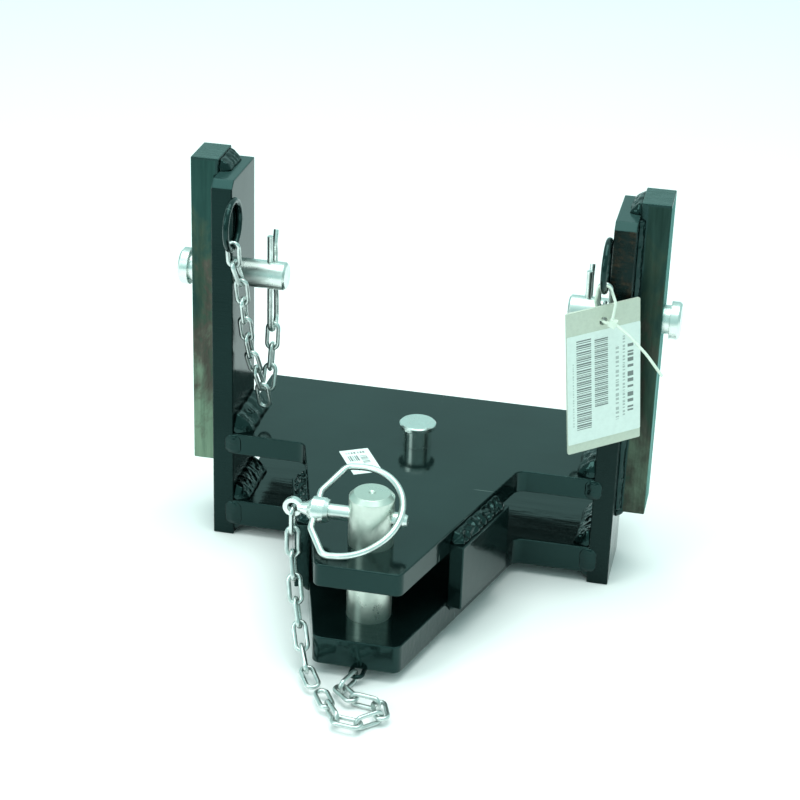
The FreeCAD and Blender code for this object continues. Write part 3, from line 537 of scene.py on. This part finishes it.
# Each mark is a band of bars, in millimetres from the sheet's origin: centre across, centre along,
# half width, half length, bar pitch, whether the bars follow each other along (1) or across (0) it,
# and darkness.
TAG_MARKS = (
    (-15, -44, 5.5, 34, 1.7, 1, 0.85),
    (-2, -37, 5, 26, 1.5, 1, 0.85),
    (10, -48, 1.2, 28, 3.5, 1, 0.45),
    (15, -44, 0.9, 30, 2.6, 1, 0.45),
    (20, -46, 2.2, 26, 5.2, 1, 0.80),
    (-23, -50, 0.5, 24, 2.2, 1, 0.35),
)
STICKER_MARKS = (
    (0, 13, 7, 1.2, 2.2, 0, 0.90),
    (-4, 5, 4, 4.0, 1.6, 0, 0.90),
    (4, 2, 2.5, 6.0, 2.0, 1, 0.80),
    (-3, -8, 5, 4.0, 2.2, 1, 0.75),
    (5, -11, 2, 3.0, 1.6, 0, 0.70),
)
# Bars come from two rhythms added up, so that their widths and gaps vary.
SLOW_RHYTHM = 2.7
SLOW_SHARE = 0.6
BAR_THRESHOLD = 0.78


def printed(name, place, marks, paper):
    """Paper with generic printed bars, laid out in the sheet's own frame."""
    s = Shader(name)
    origin, turn, length_axis = place
    sheet = s.laid_out(origin, turn)
    across = s.axis(sheet, "X")
    along = s.axis(sheet, length_axis)
    ink = None
    for centre_u, centre_v, half_u, half_v, pitch, follows_length, darkness in marks:
        inside = s.times(s.within(across, centre_u, half_u), s.within(along, centre_v, half_v))
        lane = along if follows_length else across
        slow = s.math("FRACT", s.math("DIVIDE", lane, pitch * SLOW_RHYTHM))
        fast = s.math("FRACT", s.math("DIVIDE", lane, pitch))
        bars = s.above(s.math("ADD", s.times(slow, SLOW_SHARE), fast), BAR_THRESHOLD)
        mark = s.times(inside, s.times(bars, darkness))
        ink = mark if ink is None else s.math("MAXIMUM", ink, mark)
    fibre = s.noise(300, 4, 0.6)
    blank = s.ramp(fibre, [(0.3, darker(paper, 0.94)), (0.6, paper)])
    s.put("Base Color", s.mix(ink, blank, INK))
    s.put("Roughness", s.ramp(fibre, [(0.3, 0.34), (0.7, 0.46)]))
    s.bump(fibre, 0.08, 0.2 * MM)
    return s.material


# ---------------------------------------------------------------- finish of each CAD node

PAINT = black_paint("paint_black")
PLATE_PAINT = black_paint("paint_plate", peel=0.08, waves=0.10)
LOWER_PAINT = black_paint("paint_lower_plate", peel=0.12, waves=0.42)
RING_PAINT = black_paint("paint_ring", peel=0.06)
WELD_PAINT = weld_paint("paint_weld")
PIN_ZINC = turned_zinc("zinc_drawbar_pin", "Z", PIN_TONE, 0.29, wear=0.35, metal=0.93)
REAR_ZINC = turned_zinc("zinc_rear_pin", "Z", ZINC_TONE, 0.22, wear=0.35)
LOCK_ZINC = turned_zinc("zinc_lock_pin", "X", ZINC_TONE, 0.28, wear=0.5)
LINCH_ZINC = turned_zinc("zinc_linch_pin", "X", ZINC_TONE, 0.26, wear=0.4)
WIRE_ZINC = wire_zinc("zinc_wire", WIRE_TONE, 0.30)
CHAIN_ZINC = wire_zinc("zinc_chain", CHAIN_TONE, 0.28)


def dress(node, material):
    """Give a carried-over CAD node its finish."""
    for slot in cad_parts[node].material_slots:
        slot.material = material


def dress_cad_nodes():
    dress("top_plate", PLATE_PAINT)
    dress("bottom_plate", LOWER_PAINT)
    dress("left_cheek", cheek_paint("paint_left_cheek", 0.0))
    dress("right_cheek", cheek_paint("paint_right_cheek", 1.0))
    for name, side in SIDES:
        dress(f"{name}_rail", bare_rail(f"steel_{name}_rail", side))
        dress(f"{name}_web", PAINT)
        dress(f"{name}_chain_ring", RING_PAINT)
        dress(f"{name}_lock_pin", LOCK_ZINC)
        dress(f"{name}_r_clip", WIRE_ZINC)
        dress(f"{name}_ring_chain", CHAIN_ZINC)
        dress(f"{name}_clip_chain", CHAIN_ZINC)
    dress("chain_anchor_link", RING_PAINT)
    dress("drawbar_pin", PIN_ZINC)
    dress("rear_pin", REAR_ZINC)
    dress("linch_pin", LINCH_ZINC)
    dress("linch_ring", WIRE_ZINC)
    dress("linch_chain_hanging", CHAIN_ZINC)
    dress("linch_chain_lying", CHAIN_ZINC)
    dress("plate_sticker", printed("sticker_paper", STICKER_PLACE, STICKER_MARKS, STICKER_PAPER))
    dress("tag_card", card("tag_board"))
    dress("tag_label", printed("tag_paper", TAG_PLACE, TAG_MARKS, TAG_PAPER))
    dress("cable_tie", nylon("tie_nylon"))


# ---------------------------------------------------------------- weld beads

BEAD_STEP = 0.55 * MM
FEWEST_STEPS = 12
BEAD_AROUND = 14
SWAYS_PER_METRE = 160
BEAD_BULGE = 0.69
BEAD_RIPPLE = 0.10 * MM
FINE_PITCH = 2.6 * MM
WEB_PITCH = 4.5 * MM
LUMP_SIZES = {"ridge": 5.2, "crumple": 3.6, "spatter": 1.6, "string": 9.0}
SEAM_STEPS = 30
SEAM_AROUND = 16
SEAM_RIPPLE = 0.06 * MM
SEAM_RIPPLE_PITCH = 2.8 * MM
SEAM_LUMPS = 0.3 * MM
SEAM_WANDER = 0.6 * MM
WANDERS_PER_METRE = 300
SEAM_STAND_OFF = 0.02 * MM
ROOT_DEPTH = 0.4 * MM

PLATE_LEG = 13 * MM
WINDOW_LEG = 11 * MM
UNDER_LEG = 5.6 * MM
RAIL_LEG = 8 * MM
FOOT_LEG = 6.4 * MM
CORNER_LEG = 4 * MM
CREST_LEG = 8.5 * MM
ROOT_LEG = 5 * MM
RING_LEG = 4.2 * MM
SEAM_WIDTH = 12 * MM
SEAM_HEIGHT = 1.2 * MM
PLATE_END_GAP = 1.5 * MM
RAIL_END_GAP = 1.2 * MM
WEB_END_GAP = 1.5 * MM
SEAM_END_GAP = 1 * MM
CORNER_END_GAP = 2 * MM
RING_OVERLAP = 1.0 * MM

TIP_HALF_WIDTH = 28.5 * MM
NECK_HALF_WIDTH = 77 * MM
WEB_FRONT = 27 * MM
WEB_LENGTH = 68 * MM


def mesh_piece(name, vertices, faces, material, body, replaced):
    mesh = bpy.data.meshes.new(name)
    mesh.from_pydata(vertices, [], faces)
    builder = bmesh.new()
    builder.from_mesh(mesh)
    bmesh.ops.recalc_face_normals(builder, faces=builder.faces)
    builder.to_mesh(mesh)
    builder.free()
    mesh.materials.append(material)
    for face in mesh.polygons:
        face.use_smooth = True
    piece = bpy.data.objects.new(name, mesh)
    bpy.context.collection.objects.link(piece)
    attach(piece, body)
    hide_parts(*replaced)


def rounded_end(travel, length, softness, reach):
    """Size of a bead's section near its two ends: 1 in the middle, nearly closed at each end."""
    end_gap = min(travel, length - travel)
    return math.sqrt(min(1.0, (end_gap + softness) / reach))


def lumps(spot, travel, turn, seed):
    """Unevenness of a hand-laid bead at one spot: sharp ridges, crumpled skin and slow swells."""
    strung = Vector((travel / MM / LUMP_SIZES["string"], turn * 3.2, seed * 1.9))
    ridge = 0.5 - abs(noise.noise(spot / LUMP_SIZES["ridge"])) * 2.2
    crumple = noise.noise(spot / LUMP_SIZES["crumple"]) * 0.7
    crumple += noise.noise(spot / LUMP_SIZES["spatter"]) * 0.25
    return crumple + ridge * 0.9 + noise.noise(strung) * 0.9


class Bead:
    """Painted weld metal, as rings of points joined into closed skins."""

    def __init__(self):
        self.vertices = []
        self.faces = []

    def run(self, start, along, length, face_a, face_b, leg, seed, rough, pitch=FINE_PITCH):
        """Fillet along the corner of two faces; rough is the height of its lumps."""
        steps = max(FEWEST_STEPS, int(length / BEAD_STEP))
        out = (face_a + face_b).normalized()
        base = len(self.vertices)
        shift = Vector((seed * 7.3, seed * 3.1, seed * 1.7))
        for i in range(steps + 1):
            travel = length * i / steps
            cap = rounded_end(travel, length, 0.25 * MM, leg * 0.35)
            corner = start + along * travel
            sway = noise.noise(shift + Vector((travel * SWAYS_PER_METRE, 0, 0)))
            reach = leg * cap * (1 + 0.10 * sway)
            for j in range(BEAD_AROUND + 1):
                turn = j / BEAD_AROUND
                point = face_a * reach * (1 - turn) ** BEAD_BULGE + face_b * reach * turn ** BEAD_BULGE
                crown = math.sin(math.pi * turn)
                phase = (travel + 1.6 * pitch * crown) / pitch
                ripple = abs(math.sin(math.pi * phase)) - 0.5
                spot = shift + (corner + point) / MM
                rise = BEAD_RIPPLE * ripple + rough * lumps(spot, travel, turn, seed)
                lift = rise * (0.25 + 0.75 * crown) * cap
                self.vertices.append(corner + point + out * lift)
            self.vertices.append(corner - out * ROOT_DEPTH)
        self.skin(base, steps, BEAD_AROUND + 2)

    def seam(self, start, up, height, across, outward, width, crown_height, seed):
        """Low bead laid over a joint line on one flat face."""
        base = len(self.vertices)
        shift = Vector((seed * 5.1, seed * 2.7, seed * 8.3))
        for i in range(SEAM_STEPS + 1):
            travel = height * i / SEAM_STEPS
            cap = rounded_end(travel, height, 0.2 * MM, width * 0.30)
            middle = start + up * travel
            wander = SEAM_WANDER * noise.noise(shift + Vector((travel * WANDERS_PER_METRE, 0, 0)))
            for j in range(SEAM_AROUND + 1):
                turn = j / SEAM_AROUND
                offset = (turn - 0.5) * width * (0.35 + 0.65 * cap) + wander
                crown = math.sin(math.pi * turn) ** 1.9
                spot = shift + (middle + across * offset) / MM
                wave = math.sin(2 * math.pi * travel / SEAM_RIPPLE_PITCH + 2.0 * crown)
                uneven = SEAM_RIPPLE * wave + SEAM_LUMPS * noise.noise(spot / 3.5)
                lift = crown_height * crown * cap + uneven * crown * cap
                self.vertices.append(middle + across * offset + outward * (lift + SEAM_STAND_OFF))
            self.vertices.append(middle - outward * ROOT_DEPTH)
        self.skin(base, SEAM_STEPS, SEAM_AROUND + 2)

    def skin(self, base, steps, ring):
        """Join the rings that start at vertex base, and close both ends."""
        for i in range(steps):
            for j in range(ring):
                a = base + i * ring + j
                b = base + i * ring + (j + 1) % ring
                self.faces.append((a, b, b + ring, a + ring))
        self.faces.append(tuple(base + j for j in range(ring)))
        self.faces.append(tuple(base + steps * ring + ring - 1 - j for j in range(ring)))

    def finish(self, name, replaced):
        mesh_piece(name, self.vertices, self.faces, WELD_PAINT, "carriage", replaced)


def make_plate_welds(name, side):
    """Both plates to the cheek: three long fillets, and a seam over each plate's front end."""
    inward = X * -side
    front = CHEEK_FRONT + PLATE_END_GAP
    length = CHEEK_BACK - CHEEK_FRONT - 2 * PLATE_END_GAP
    bead = Bead()
    fillets = (
        (TOP_FACE, Z, PLATE_LEG, 0.55 * MM, 1),
        (bottom_high.z, Z, WINDOW_LEG, 0.8 * MM, 2),
        (bottom_low.z, -Z, UNDER_LEG, 0.4 * MM, 3),
    )
    for level, rise, leg, rough, seed in fillets:
        start = Vector((side * INNER_X, front, level))
        bead.run(start, Y, length, inward, rise, leg, seed * side, rough)
    for low, high, seed in ((top_low.z, top_high.z, 4), (bottom_low.z, bottom_high.z, 5)):
        start = Vector((side * INNER_X, CHEEK_FRONT, low + SEAM_END_GAP))
        height = high - low - 2 * SEAM_END_GAP
        bead.seam(start, Z, height, X, -Y, SEAM_WIDTH, SEAM_HEIGHT, seed * side)
    bead.finish(f"{name}_plate_weld_beads", [f"{name}_plate_welds"])


def make_rail_welds(name, side):
    """Rail to cheek: one fillet over the cheek's top, one under the rail's foot, one up the front."""
    outward = X * side
    corner_x = side * OUTER_X
    back_start = rail_low.y + RAIL_END_GAP
    length = rail_high.y - rail_low.y - 2 * RAIL_END_GAP
    height = cheek_high.z - rail_low.z - 2 * CORNER_END_GAP
    crest = Vector((corner_x, back_start, cheek_high.z))
    foot = Vector((corner_x, back_start, rail_low.z))
    corner = Vector((corner_x, rail_low.y, rail_low.z + CORNER_END_GAP))
    bead = Bead()
    bead.run(crest, Y, length, -outward, Z, RAIL_LEG, 6 * side, 0.6 * MM)
    bead.run(foot, Y, length, outward, -Z, FOOT_LEG, 7 * side, 0.45 * MM)
    bead.run(corner, Z, height, outward, -Y, CORNER_LEG, 8 * side, 0.28 * MM)
    bead.finish(f"{name}_rail_weld_beads", [f"{name}_rail_welds"])


def make_web_welds(name, side):
    """Web to both plates, along the slanted sides of the tip."""
    slant = Vector((NECK_HALF_WIDTH - TIP_HALF_WIDTH, CHEEK_FRONT - top_low.y, 0))
    share = (WEB_FRONT - top_low.y) / slant.y
    start_x = TIP_HALF_WIDTH + share * slant.x
    along = slant.normalized()
    outward = Vector((along.y, -along.x, 0))
    along.x *= side
    outward.x *= side
    length = WEB_LENGTH - 2 * WEB_END_GAP
    bead = Bead()
    fillets = (
        (web_high.z, Z, CREST_LEG, 1.45 * MM, 9),
        (web_low.z, -Z, ROOT_LEG, 0.4 * MM, 10),
    )
    for level, rise, leg, rough, seed in fillets:
        start = Vector((side * start_x, WEB_FRONT, level)) + along * WEB_END_GAP
        bead.run(start, along, length, outward, rise, leg, seed * side, rough, WEB_PITCH)
    bead.finish(f"{name}_web_weld_beads", [f"{name}_web_welds"])


def make_ring_weld(name, side):
    low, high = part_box(f"{name}_ring_weld")
    start = Vector((side * INNER_X, low.y - RING_OVERLAP, low.z))
    bead = Bead()
    bead.run(start, Z, high.z - low.z, X * -side, Y, RING_LEG, 11 * side, 0.3 * MM)
    bead.finish(f"{name}_ring_weld_bead", [f"{name}_ring_weld"])


# ---------------------------------------------------------------- build

bpy.context.scene.view_settings.view_transform = "Standard"
make_camera()
make_floor(plain_floor())
make_world()
make_light("overhead", place=(0.1, 0.1, 1.9), aim=(0, 0.1, 0), size=(1.6, 1.6), power=28)
make_light("front_left", place=(-1.5, -1.4, 1.3), aim=(0, 0.05, 0.05), size=(1.0, 1.2), power=16)
dress_cad_nodes()
for side_name, side_sign in SIDES:
    make_plate_welds(side_name, side_sign)
    make_rail_welds(side_name, side_sign)
    make_web_welds(side_name, side_sign)
    make_ring_weld(side_name, side_sign)
